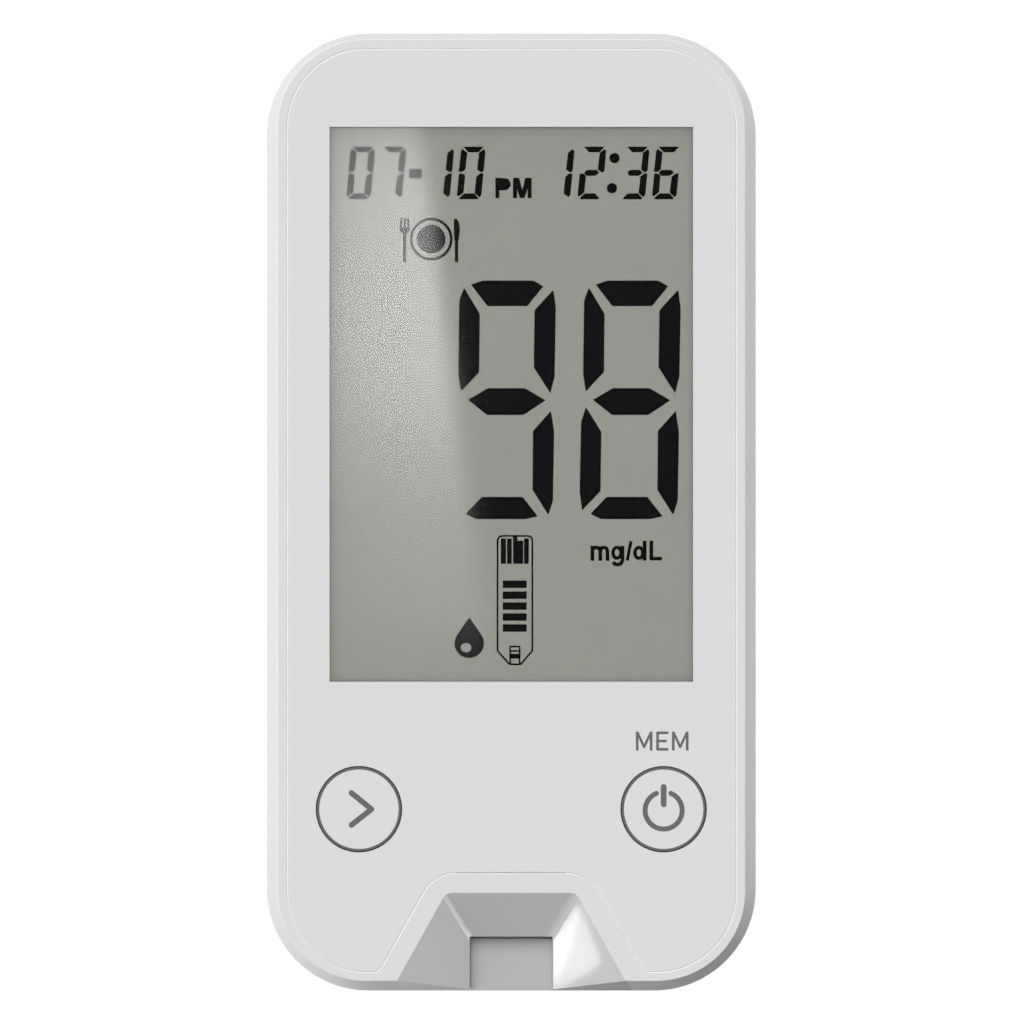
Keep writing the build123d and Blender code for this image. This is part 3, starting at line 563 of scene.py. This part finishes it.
def flat_mark(name, loops, low, thickness, material, body, holes=()):
    """Joins overlapping loops, less the holes, into one thin solid that lies at a height (mm)."""
    points, edges, faces = [], [], []
    for loop in loops:
        first = len(points)
        points += [Vector(point) for point in counter_clockwise(list(loop))]
        faces.append(list(range(first, len(points))))
    for loop in holes:
        first = len(points)
        points += [Vector(point) for point in loop]
        count = len(points) - first
        edges += [(first + i, first + (i + 1) % count) for i in range(count)]
    flat, _, triangles, _, _, covers = geometry.delaunay_2d_cdt(
        points, edges, faces, WITHIN_LOOPS, LOOP_CLOSENESS
    )
    mesh = bmesh.new()
    verts = [mesh.verts.new((p.x * MM, p.y * MM, (low + thickness) * MM)) for p in flat]
    for corners, loops_over in zip(triangles, covers):
        middle = sum((flat[i] for i in corners), Vector((0, 0))) / len(corners)
        if loops_over and not any(inside(middle, loop) for loop in holes):
            mesh.faces.new([verts[i] for i in corners])
    bmesh.ops.delete(mesh, geom=[v for v in mesh.verts if not v.link_faces], context="VERTS")
    top = mesh.faces[:]
    made = bmesh.ops.extrude_face_region(mesh, geom=top)
    moved = [item for item in made["geom"] if isinstance(item, bmesh.types.BMVert)]
    bmesh.ops.translate(mesh, vec=(0, 0, -thickness * MM), verts=moved)
    bmesh.ops.recalc_face_normals(mesh, faces=mesh.faces[:])
    data = bpy.data.meshes.new(name)
    mesh.to_mesh(data)
    mesh.free()
    data.materials.append(material)
    mark = bpy.data.objects.new(name, data)
    bpy.context.scene.collection.objects.link(mark)
    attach(mark, body)


# ---- Digits: seven segments each, a at the top and then clockwise, g in the middle ----
BIG_SEGMENTS = {
    "a": [(1.34, 24.36), (2.53, 24.77), (7.78, 24.77), (8.79, 24.19), (7.14, 22.17), (3.03, 22.17)],
    "b": [(9.85, 23.78), (10.1, 21.97), (9.97, 14.77), (9.54, 13.13), (7.85, 15.78), (7.95, 21.71)],
    "c": [(9.59, 11.16), (9.92, 9.09), (9.8, 1.89), (9.34, 0.46), (7.73, 3.03), (7.78, 9.14)],
    "d": [(0.78, 0.51), (2.43, 2.25), (6.64, 2.25), (8.2, 0.28), (6.97, 0.0), (1.84, 0.0)],
    "e": [(0.27, 11.56), (1.85, 9.04), (1.76, 2.9), (-0.11, 0.94), (-0.36, 2.78), (-0.21, 10.1)],
    "f": [(0.58, 23.99), (2.18, 21.33), (2.12, 15.27), (0.28, 13.31), (0.0, 15.02), (0.1, 22.72)],
    "g": [(1.04, 12.38), (3.06, 13.57), (6.89, 13.57), (8.99, 12.33), (6.77, 10.84), (2.98, 10.84)],
}
SMALL_SEGMENTS = {
    "a": [(0.75, 5.39), (2.71, 5.39), (2.23, 4.89), (1.19, 4.89)],
    "b": [(2.79, 5.13), (2.92, 4.95), (2.74, 2.97), (2.64, 2.81), (2.45, 2.83), (2.14, 3.07), (2.33, 4.76)],
    "c": [(2.45, 2.6), (2.71, 2.6), (2.5, 0.47), (2.34, 0.23), (1.87, 0.62), (2.06, 2.29)],
    "d": [(0.78, 0.53), (1.77, 0.53), (2.19, 0.07), (2.08, 0.0), (0.31, 0.0), (0.26, 0.08)],
    "e": [(0.25, 2.58), (0.55, 2.6), (0.81, 2.36), (0.65, 0.69), (0.12, 0.29), (0.03, 0.42)],
    "f": [(0.56, 5.15), (1.03, 4.79), (0.84, 3.09), (0.48, 2.82), (0.23, 2.89), (0.44, 4.89)],
    "g": [(0.72, 2.74), (0.98, 2.97), (1.94, 2.97), (2.2, 2.73), (1.81, 2.44), (0.87, 2.44)],
}
DIGITS = {
    "0": "abcdef", "1": "bc", "2": "abged", "3": "abgcd", "6": "afgecd",
    "7": "abc", "8": "abcdefg", "9": "abcdfg",
}


def digit(segments, value, x, y):
    return [at(segments[name], x, y) for name in DIGITS[value]]


def date_and_time():
    """The top row: a date and a time in small slanted digits."""
    row = 32.6
    loops = []
    places = [
        ("0", -17.15), ("7", -13.9), ("1", -8.93), ("0", -5.65),
        ("1", 3.61), ("2", 6.91), ("3", 11.41), ("6", 14.67),
    ]
    for value, x in places:
        loops += digit(SMALL_SEGMENTS, value, x, row)
    loops.append(rectangle(-10.58, -9.37, 34.77, 35.65))
    return loops + [circle((10.75, 36.84), 0.49), circle((10.48, 33.71), 0.49)]


def afternoon_mark():
    """PM in bold capitals."""
    bowl = [(-1.45, 34.58), (-0.72, 34.58), *arc((-0.72, 34.13), 0.45, 90, -90, 12), (-1.45, 33.68)]
    return [
        *stroke([(-1.45, 34.77), (-1.45, 32.7)], 0.37),
        *stroke(bowl, 0.34),
        *stroke([(0.39, 32.7), (0.39, 34.77)], 0.37),
        *stroke([(1.91, 34.77), (1.91, 32.7)], 0.37),
        [(0.22, 34.77), (0.8, 34.77), (1.35, 32.7), (0.92, 32.7)],
        [(2.08, 34.77), (1.5, 34.77), (0.92, 32.7), (1.35, 32.7)],
    ]


def unit_mark():
    """The unit mg/dL."""
    first = [(8.44, -3.95), (8.63, -3.73), (8.89, -3.67), (9.13, -3.76), (9.26, -4.05), (9.26, -5.03)]
    second = [(9.26, -3.99), (9.41, -3.75), (9.65, -3.67), (9.89, -3.76), (10.01, -4.05), (10.01, -5.03)]
    hook = [(11.57, -3.53), (11.57, -5.05), (11.42, -5.36), (11.06, -5.47), (10.75, -5.39), (10.61, -5.2)]
    return [
        *stroke([(8.44, -3.5), (8.44, -5.06)], 0.36),
        *stroke(first, 0.35),
        *stroke(second, 0.35),
        [(9.08, -5.06), (9.44, -5.06), (9.44, -4.1), (9.08, -4.1)],
        [(9.83, -5.06), (10.19, -5.06), (10.19, -4.1), (9.83, -4.1)],
        *stroke(circle((11.0, -4.23), (0.42, 0.55))[::2], 0.34, closed=True),
        *stroke(hook, 0.36),
        *stroke([(12.46, -3.04), (12.07, -5.03)], 0.3),
        *stroke(circle((13.28, -4.24), (0.42, 0.56))[::2], 0.34, closed=True),
        *stroke([(13.88, -3.0), (13.88, -5.03)], 0.36),
        *stroke([(14.58, -3.0), (14.58, -4.84), (15.66, -4.84)], 0.37),
    ]


def meal_mark():
    """A fork, a plate and a knife."""
    tines = [
        [(-11.43, 30.5), (-11.5, 29.5)],
        [(-11.09, 30.5), (-11.09, 29.4)],
        [(-10.76, 30.5), (-10.67, 29.5)],
    ]
    bowl = [*arc((-11.09, 29.6), (0.52, 0.66), 180, 360, 20)]
    blade = [
        (-5.94, 30.4), (-5.8, 30.56), (-5.63, 30.41), (-5.46, 30.05), (-5.37, 29.58),
        (-5.4, 28.96), (-5.49, 28.3), (-5.91, 28.3), (-5.97, 29.37),
    ]
    loops = [bowl, blade, rectangle(-5.85, -5.55, 26.06, 28.35), rectangle(-11.25, -10.95, 26.04, 29.2)]
    for line in tines:
        loops += stroke(line, 0.17, round_ends=True)
    loops.append(circle((-8.34, 28.41), 1.47))
    return loops + stroke(circle((-8.34, 28.41), 2.09), 0.24, closed=True)


def strip_mark():
    """A test strip with its contacts, bars and tip."""
    left, right, top = -1.43, 2.19, -2.48
    outline = [
        (left, -14.44), (left, top - 0.5), *arc((left + 0.5, top - 0.5), 0.5, 180, 90, 8),
        *arc((right - 0.5, top - 0.5), 0.5, 90, 0, 8), (right, -14.44), (0.98, -15.84), (-0.19, -15.84),
    ]
    contacts = [
        (-1.07, -0.57, -2.76), (-0.43, 0.03, -2.76), (0.2, 0.62, -2.5),
        (0.6, 1.22, -3.0), (1.34, 1.8, -2.76),
    ]
    loops = stroke(outline, 0.14, closed=True)
    loops += [rectangle(x0, x1, -5.36, high) for x0, x1, high in contacts]
    loops += [rectangle(-0.87, 1.58, y, y + 0.74) for y in (-7.88, -9.02, -10.15, -11.29, -12.43)]
    loops += stroke([(-0.12, -15.84), (-0.12, -13.99), (0.87, -13.99), (0.87, -15.84)], 0.13)
    return loops + [rectangle(-0.12, 0.87, -14.53, -14.39), rectangle(-0.12, 0.87, -15.23, -14.77)]


def drop_mark():
    """A drop of blood; its highlight is a hole."""
    return [[(-4.38, -10.94), *arc((-4.38, -13.65), 1.54, 145.4, 394.6, 40)]]


def memory_mark():
    """MEM in thin capitals over the right key."""
    loops = []
    for x in (13.09, 16.84):
        loops += stroke([(x, -24.79), (x, -22.82)], 0.28)
        loops += stroke([(x + 1.45, -24.79), (x + 1.45, -22.82)], 0.28)
        loops += stroke([(x + 0.03, -22.93), (x + 0.72, -24.42), (x + 1.42, -22.93)], 0.26)
    loops += stroke([(16.32, -22.95), (15.21, -22.95), (15.21, -24.66), (16.32, -24.66)], 0.28)
    return loops + stroke([(15.21, -23.8), (16.17, -23.8)], 0.27)


def key_ring(x, y):
    """The printed ring round a key's edge."""
    width = KEY_RING[1] - KEY_RING[0] - RING_MARGIN
    return stroke(circle((x, y), KEY_RING[0] + width / 2), width, closed=True)


def make_marks(dark, grey):
    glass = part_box("display_front_glass")[1].z / MM
    thick = SEGMENT_THICKNESS
    big = digit(BIG_SEGMENTS, "9", -5.49, -0.7) + digit(BIG_SEGMENTS, "8", 7.5, -0.7)
    flat_mark("reading_digits", fuller(big, 0.03), glass, thick, dark, "root")
    flat_mark("date_and_time", fuller(date_and_time(), 0.045), glass, thick, dark, "root")
    flat_mark("afternoon_mark", fuller(afternoon_mark(), 0.025), glass, thick, dark, "root")
    flat_mark("unit_mark", fuller(unit_mark(), 0.015), glass, thick, dark, "root")
    flat_mark("meal_mark", fuller(meal_mark(), 0.025), glass, thick, dark, "root")
    flat_mark("strip_mark", fuller(strip_mark(), 0.02), glass, thick, dark, "root")
    flat_mark("drop_mark", drop_mark(), glass, thick, dark, "root", [circle((-4.71, -14.1), (0.55, 0.48))])
    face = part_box("faceplate")[1].z / MM
    flat_mark("memory_mark", memory_mark(), face, PRINT_THICKNESS, grey, "root")
    for key in ("left_key", "right_key"):
        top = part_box(key)[1].z / MM
        flat_mark(key + "_ring", key_ring(*key_middle(key)), top, PRINT_THICKNESS, grey, key)
    x, y = key_middle("left_key")
    arrow = [(x - 0.78, y + 1.69), (x + 1.3, y), (x - 0.78, y - 1.65)]
    flat_mark("arrow_mark", stroke(arrow, 0.58, round_ends=True), face, PRINT_THICKNESS, grey, "left_key")
    x, y = key_middle("right_key")
    loops = stroke([(x, y + 2.32), (x, y + 0.5)], 0.6, round_ends=True)
    loops += stroke(arc((x, y - 0.13), 1.93, 113, 427, 48), 0.52, round_ends=True)
    flat_mark("power_mark", loops, face, PRINT_THICKNESS, grey, "right_key")


# ---- Finishes ----
# edge is the painted highlight colour of the rounded seam edges
white, edge = colour(CASE_TONE), colour(PAINTED_HIGHLIGHT_TONE)
# the funnel's plastic, painted darker as shade
polished_and_shaded = colour(FUNNEL_SHADE_TONE)
front = case_plastic("front_plastic", white, edge, CASE_ROUGHNESS, polished_and_shaded, POLISHED_ROUGHNESS)
dress(front, "front_shell")
dress(moulded("case_plastic", white, CASE_ROUGHNESS), "back_shell", "battery_door")
dress(plate_plastic("faceplate_plastic", white, edge, CASE_ROUGHNESS), "faceplate")
for key in ("left_key", "right_key"):
    dress(key_plastic(key + "_plastic", key, white, colour(PRINT_TONE)), key)
# the second grey is the painted shade towards the slot
dress(guide_plastic("guide_plastic", colour((200, 200, 200)), colour((130, 130, 130)), 0.2), "strip_guide")
dress(clear("window_clear", (0.985, 0.985, 0.985, 1), 0.12, 0.012), "display_window")
dress(reflective_display("polariser", colour(DISPLAY_TONE), 0.8, 0.22), "display_front_glass")
dress(moulded("display_glass", colour((120, 132, 124)), 0.1, 1e-7), "display_rear_glass")
dress(moulded("reflector_film", colour((196, 198, 192)), 0.5, grain=3e-6), "display_reflector")
dress(moulded("adhesive_tape", colour((70, 70, 72)), 0.6), "window_tape")
dress(foam("gasket_foam", colour((46, 46, 48))), "display_gasket")
dress(moulded("frame_plastic", colour((214, 212, 206)), 0.5), "display_frame")
rubber = striped("connector_rubber", colour((150, 96, 96)), colour((40, 40, 42)), "X", 0.0002, 0.6)
dress(rubber, "zebra_strip")
dress(circuit_board("board_lacquer"), "main_board")
dress(moulded("chip_epoxy", colour((34, 34, 36)), 0.55, grain=8e-6), "processor", "memory_chip")
dress(metal("crystal_can", colour((196, 196, 192)), 0.3), "crystal")
passives = striped("passive_ends", colour((122, 96, 70)), colour((190, 188, 180)), "Y", 0.0016, 0.4)
dress(passives, "board_passives")
dress(moulded("buzzer_plastic", colour((38, 38, 40)), 0.45), "buzzer")
dress(moulded("connector_plastic", colour((44, 44, 46)), 0.5), "strip_connector")
dress(metal("contact_gold", (0.83, 0.62, 0.27, 1), 0.25), "strip_contacts")
dress(cell_sleeve("cell_sleeve"), "left_cell", "right_cell")
nickel = metal("contact_nickel", (0.66, 0.63, 0.58, 1), 0.3)
dress(nickel, "positive_contact", "negative_contact", "bridge_contact")
dress(metal("spring_steel", (0.6, 0.59, 0.57, 1), 0.28), "battery_springs", "left_dome", "right_dome")
dress(metal("screw_steel", (0.5, 0.5, 0.5, 1), 0.32), "case_screws", "board_screws")
make_marks(ink("segment_ink", colour(INK_TONE), 0.6, 1.0), ink("print_ink", colour(PRINT_TONE), 0.5))


# ---- Stage ----
def floor_material():
    """A pale floor that reads white, keeps a soft shadow, and isn't there from below.

    In the meter's light and mirrors it has a painted shadow past the lower right. In mirrors it also has
    a painted glow that is brighter to the left.
    """
    material, shade = new_material("floor")
    path = shade.node("ShaderNodeLightPath").outputs
    back = shade.node("ShaderNodeNewGeometry").outputs["Backfacing"]
    # painted shadow: the floor darkens past the meter's lower right
    toward_shadow = shade.along(shade.place(), FLOOR_SHADOW_WAY)
    tone = shade.ramp(shade.share(toward_shadow, *FLOOR_SHADOW_SPAN), FLOOR_SHADOW_TONES)
    shadow_painted_floor = shade.node("ShaderNodeBsdfDiffuse", {"Color": tone})
    # painted glow in mirrors, stronger to the left
    left = shade.share(shade.along(shade.place(), FLOOR_GLOW_WAY), *FLOOR_GLOW_START)
    mirror_glow = shade.node("ShaderNodeEmission", {"Color": WHITE, "Strength": shade.between(left, *FLOOR_MIRROR_GLOW)})
    mirrored = shade.node("ShaderNodeAddShader", {0: shadow_painted_floor.outputs[0], 1: mirror_glow.outputs[0]})
    seen_paint = shade.node("ShaderNodeBsdfDiffuse", {"Color": FLOOR_SEEN_PAINT})
    seen_light = shade.node("ShaderNodeEmission", {"Color": WHITE, "Strength": FLOOR_SEEN_GLOW})
    seen = shade.node("ShaderNodeAddShader", {0: seen_paint.outputs[0], 1: seen_light.outputs[0]})
    in_mirror = shade.math("MAXIMUM", path["Is Glossy Ray"], path["Is Transmission Ray"])
    surface = shade.mix(in_mirror, shadow_painted_floor, mirrored)
    surface = shade.mix(path["Is Camera Ray"], surface, seen)
    absent = shade.math("MAXIMUM", back, path["Is Shadow Ray"])
    shade.surface(shade.mix(absent, surface, shade.node("ShaderNodeBsdfTransparent")).outputs[0])
    return material


def sheet(name, corners, material):
    """A flat four-cornered sheet of the stage."""
    data = bpy.data.meshes.new(name)
    data.from_pydata(corners, [], [list(range(len(corners)))])
    data.materials.append(material)
    made = bpy.data.objects.new(name, data)
    bpy.context.scene.collection.objects.link(made)


def mirrored_only(name, strength_of):
    """A clear card whose glow shows in mirrors alone; strength_of makes its brightness."""
    material, shade = new_material(name)
    glossy = shade.node("ShaderNodeLightPath").outputs["Is Glossy Ray"]
    gone = shade.node("ShaderNodeBsdfTransparent")
    glow = shade.node("ShaderNodeEmission", {"Strength": strength_of(shade)})
    lit = shade.node("ShaderNodeAddShader", {0: gone.outputs[0], 1: glow.outputs[0]})
    shade.surface(shade.mix(glossy, gone, lit).outputs[0])
    material.cycles.emission_sampling = "NONE"
    return material


def window_card(shade):
    """Brightness of the overhead card: a slanting edge on its right, fading down and to the left."""
    scale = 1 / (CARD_GROWTH * MM)
    split = shade.node("ShaderNodeSeparateXYZ", {"Vector": shade.place()})
    x = shade.math("MULTIPLY", split.outputs["X"], scale)
    y = shade.math("MULTIPLY", split.outputs["Y"], scale)
    edge = shade.math("ADD", x, shade.math("MULTIPLY", y, CARD_SLANT))
    side = shade.math("SUBTRACT", edge, CARD_EDGE)
    inner, outer = CARD_SOFTNESS
    across = shade.node("ShaderNodeMapRange", {
        "Value": side, "From Min": inner, "From Max": outer, "To Min": 1.0, "To Max": 0.0,
    }, interpolation_type="SMOOTHSTEP").outputs["Result"]
    left = shade.ramp(shade.share(x, *CARD_LEFT), CARD_LEFT_LEVELS)
    down = shade.ramp(shade.share(y, *CARD_DOWN), CARD_DOWN_LEVELS)
    level = shade.math("MULTIPLY", down, CARD_STRENGTH)
    return shade.math("MULTIPLY", shade.math("MULTIPLY", across, left), level)


sheet("floor", [
    (-FLOOR_HALF, -FLOOR_HALF, FLOOR_HEIGHT), (FLOOR_HALF, -FLOOR_HALF, FLOOR_HEIGHT),
    (FLOOR_HALF, FLOOR_HALF, FLOOR_HEIGHT), (-FLOOR_HALF, FLOOR_HALF, FLOOR_HEIGHT),
], floor_material())
card_z = CARD_HEIGHT + FACE_HEIGHT
card_corners = [(-0.024, -0.02), (0.004, -0.02), (0.004, 0.046), (-0.024, 0.046)]
sheet(
    "window_card", [(x * CARD_GROWTH, y * CARD_GROWTH, card_z) for x, y in card_corners],
    mirrored_only("window_card", window_card),
)


def funnel_wall_height(x, y):
    """Height of the funnel's right wall over a place in plan (mm)."""
    slant = math.sqrt(1 + FUNNEL_FLARE**2)
    inward = (FUNNEL_HALF_WIDTH + FUNNEL_FLARE * (FUNNEL_BACK - y) - x) / slant
    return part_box("front_shell")[1].z / MM - inward * SIDE_SLOPE


def card_in_right_wall(name, places, distance, strength):
    """A card off to the lower left, which the funnel's right wall mirrors to the camera at these places."""
    slant = math.sqrt(1 + FUNNEL_FLARE**2)
    normal = Vector((-SIDE_SLOPE / slant, -SIDE_SLOPE * FUNNEL_FLARE / slant, 1)).normalized()
    eye = Vector((*CAMERA_OFFSET, CAMERA_HEIGHT))
    corners = []
    for x, y in places:
        place = Vector((x, y, funnel_wall_height(x, y))) * MM
        way = (place - eye).normalized().reflect(normal)
        corners.append(tuple(place + way * distance))
    sheet(name, corners, mirrored_only(name, lambda shade: strength))


PATCH = [
    (7.05, -40.91), (8.19, -43.72), (8.92, -45.6), (9.24, -46.64), (9.13, -47.05), (8.4, -47.68),
    (7.47, -48.3), (6.11, -48.93), (5.07, -49.55), (3.6, -49.9), (3.6, -44.5), (5.07, -44.0), (6.11, -42.47),
]
BRIGHT_PATCH = [(7.15, -40.9), (6.42, -44.55), (5.9, -46.3), (5.07, -48.2), (3.6, -49.0), (3.6, -43.0)]
card_in_right_wall("wall_card", PATCH, 0.1, 6.6)
card_in_right_wall("bright_wall_card", BRIGHT_PATCH, 0.09, 4.8)


def card_round(name, first, last, low, high, distance, strength):
    """A card between two bearings and two angles up from the floor (degrees), faded at all sides."""
    corners = []
    for bearing, rise in ((first, low), (last, low), (last, high), (first, high)):
        a, b = math.radians(bearing), math.radians(rise)
        way = Vector((math.cos(a) * math.cos(b), math.sin(a) * math.cos(b), math.sin(b)))
        corners.append(tuple(way * distance))
    middle, half = math.radians((first + last) / 2), math.radians(abs(first - last) / 2)

    def glow(shade):
        split = shade.node("ShaderNodeSeparateXYZ", {"Vector": shade.place()})
        x, y = split.outputs["X"], split.outputs["Y"]
        squares = shade.math("ADD", shade.math("MULTIPLY", x, x), shade.math("MULTIPLY", y, y))
        reach = shade.math("SQRT", squares)
        ahead = shade.along(shade.place(), (math.cos(middle), math.sin(middle)))
        within = shade.share(shade.math("DIVIDE", ahead, reach), math.cos(half), math.cos(half * SIDE_FADE))
        rise = shade.math("ARCTANGENT", shade.math("DIVIDE", split.outputs["Z"], reach))
        up = shade.ramp(shade.share(rise, math.radians(low), math.radians(high)), RISE_LEVELS)
        return shade.math("MULTIPLY", shade.math("MULTIPLY", within, up), strength)

    sheet(name, corners, mirrored_only(name, glow))


card_round("corner_card", -64, -31, 0, 20, 1.0, 6.0)
card_round("seam_card", 208, 126, 6, 40, 1.5, 4.5)
card_round("seam_card_top", 156, 62, 6, 40, 1.5, 5.0)


def area_lamp(name, place, size, power):
    data = bpy.data.lights.new(name, "AREA")
    data.size = size
    data.energy = power
    lamp = bpy.data.objects.new(name, data)
    lamp.location = place
    lamp.rotation_euler = (Vector(LAMP_TARGET) - Vector(place)).to_track_quat("-Z", "Y").to_euler()
    bpy.context.scene.collection.objects.link(lamp)


area_lamp("key_lamp", (-0.62, 0.82, 1.7), 0.8, 3.0)
area_lamp("under_lamp", (0, 0, -0.6), 0.6, 2.6)


def make_world():
    """Soft light all round, dimmer to the lower right; white where it is seen, dark straight overhead."""
    world = bpy.data.worlds.new("studio")
    world.use_nodes = True
    shade = Shader(world.node_tree)
    path = shade.node("ShaderNodeLightPath").outputs
    way = shade.node("ShaderNodeTexCoord").outputs["Generated"]
    z = shade.node("ShaderNodeSeparateXYZ", {"Vector": way}).outputs["Z"]
    level = shade.ramp(shade.share(shade.along(way, WORLD_WAY), -1, 1), WORLD_LEVELS)
    soft = shade.scaled(level, shade.between(shade.share(z, *ZENITH), *ZENITH_GAIN))
    start, full = OVERHEAD
    hole = shade.node("ShaderNodeMapRange", {
        "Value": z, "From Min": start, "From Max": full, "To Min": 1.0, "To Max": 0.0,
    }).outputs["Result"]
    overhead = shade.blend(hole, (0, 0, 0, 1), soft)
    seen = shade.math("MAXIMUM", path["Is Camera Ray"], path["Is Transmission Ray"])
    mirrored = shade.blend(path["Is Glossy Ray"], soft, overhead)
    white = shade.blend(seen, mirrored, WHITE)
    back = shade.node("ShaderNodeBackground", {"Color": white, "Strength": 1.0})
    shade.node("ShaderNodeOutputWorld", {"Surface": back.outputs[0]})
    bpy.context.scene.world = world


make_world()


def make_camera():
    """Straight above, from far off, so that the meter is seen almost without perspective."""
    data = bpy.data.cameras.new("camera")
    data.sensor_width = SENSOR
    data.lens = SENSOR * (CAMERA_HEIGHT - SHARP_HEIGHT) / PICTURE_WIDTH
    data.clip_start = 0.1
    data.clip_end = 20
    camera = bpy.data.objects.new("camera", data)
    camera.location = (*CAMERA_OFFSET, CAMERA_HEIGHT)
    bpy.context.scene.collection.objects.link(camera)
    bpy.context.scene.camera = camera


make_camera()
bpy.context.scene.view_settings.view_transform = "Standard"
